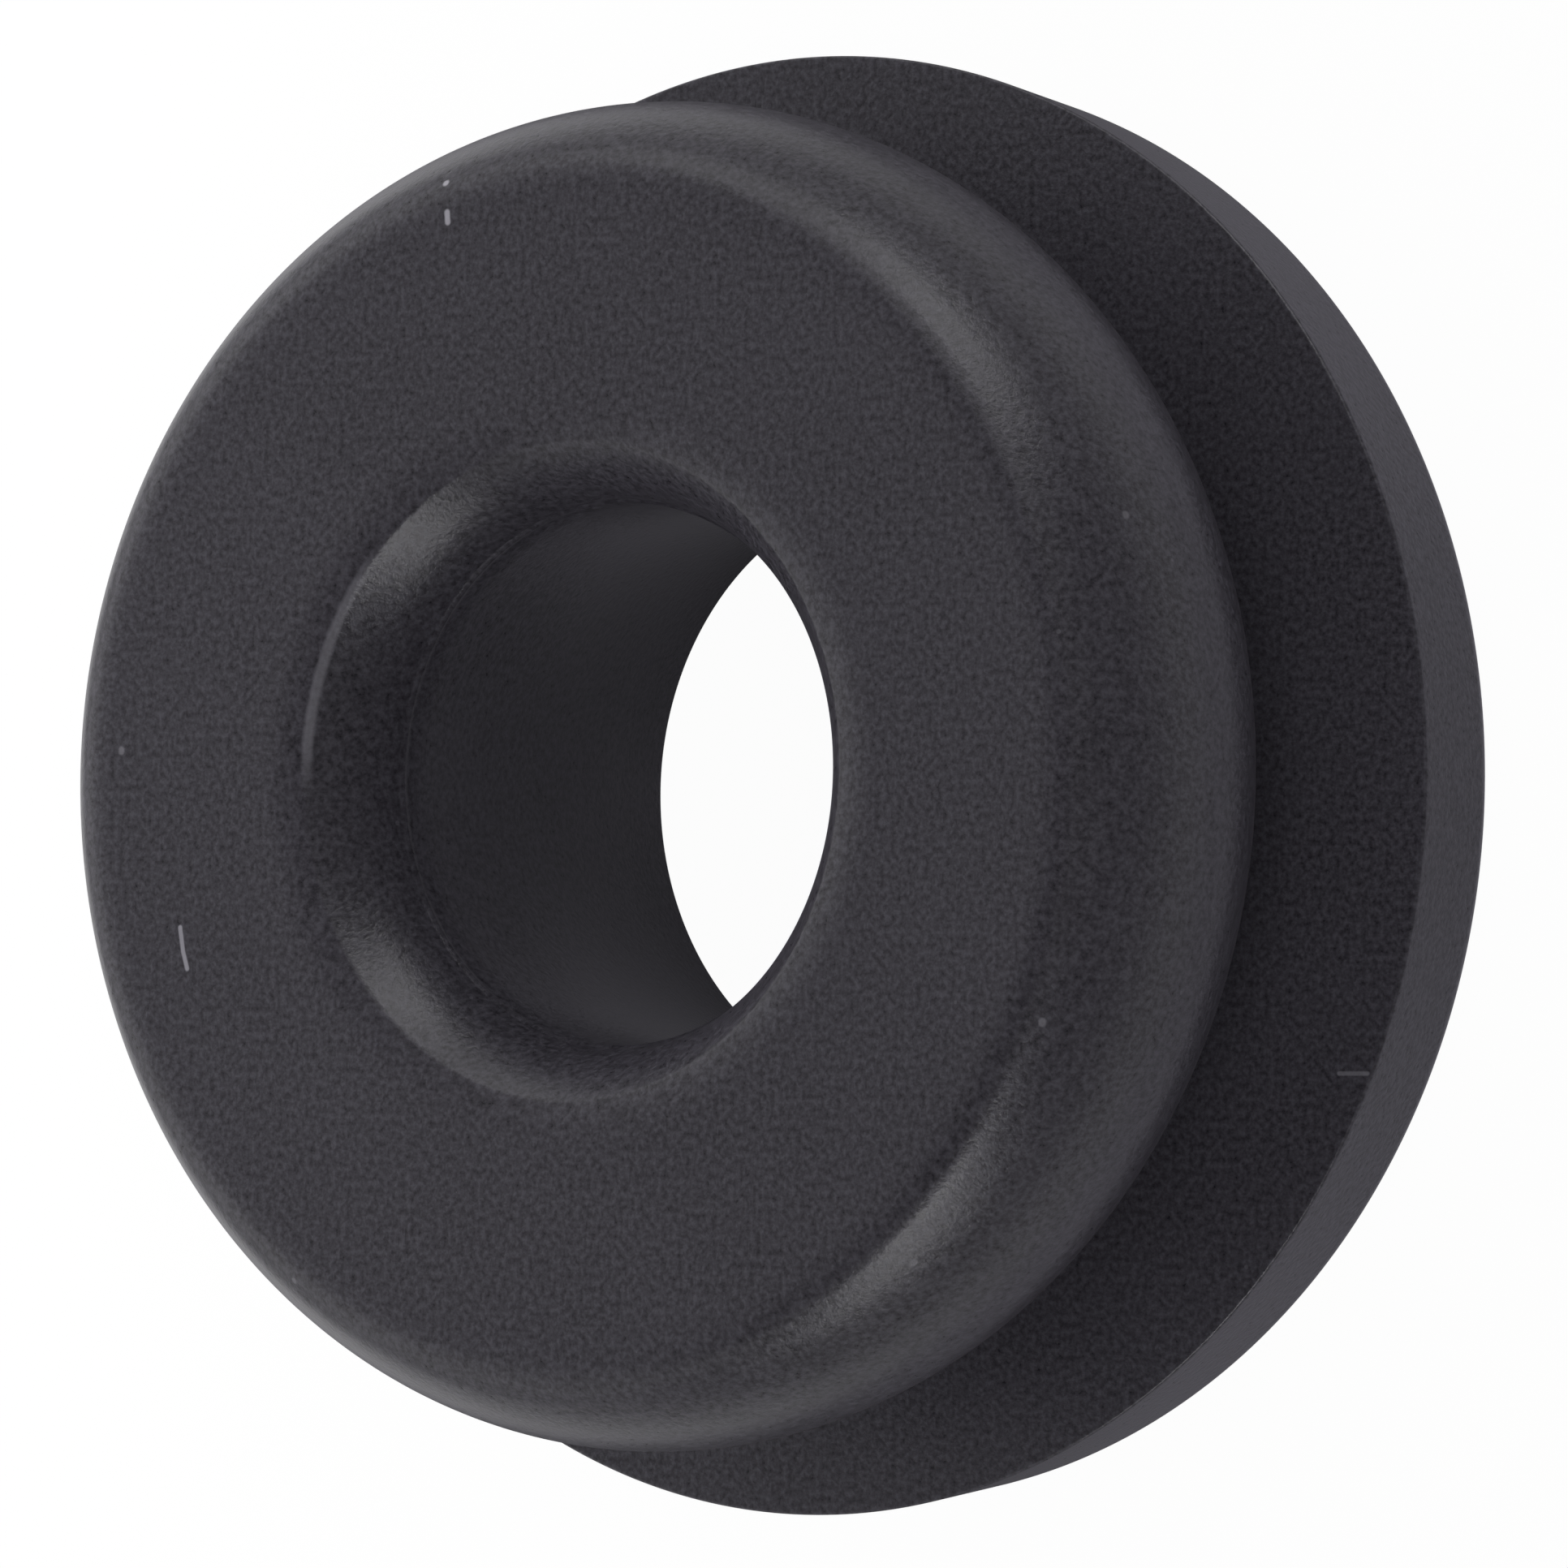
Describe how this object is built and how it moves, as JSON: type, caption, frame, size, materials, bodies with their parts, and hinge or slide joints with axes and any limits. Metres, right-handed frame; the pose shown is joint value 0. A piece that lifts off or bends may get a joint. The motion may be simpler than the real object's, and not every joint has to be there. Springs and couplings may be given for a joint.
{
  "type": "grooved rubber washer",
  "caption": "Moulded rubber washer with a wide rear flange, a panel groove, a rounded front bead and a through bore for a bolt collar.",
  "frame": {"origin": "centre of the rear face, on the axis of the bore", "axes": "+Z along the axis of the bore, from the rear flange to the front bead; the ring is round, so X and Y are free"},
  "size_m": [0.022, 0.022, 0.0087],
  "materials": {
    "rubber": "matte moulded charcoal rubber with a fine grain"
  },
  "bodies": {
    "root": {"washer": "rubber"}
  },
  "joints": []
}
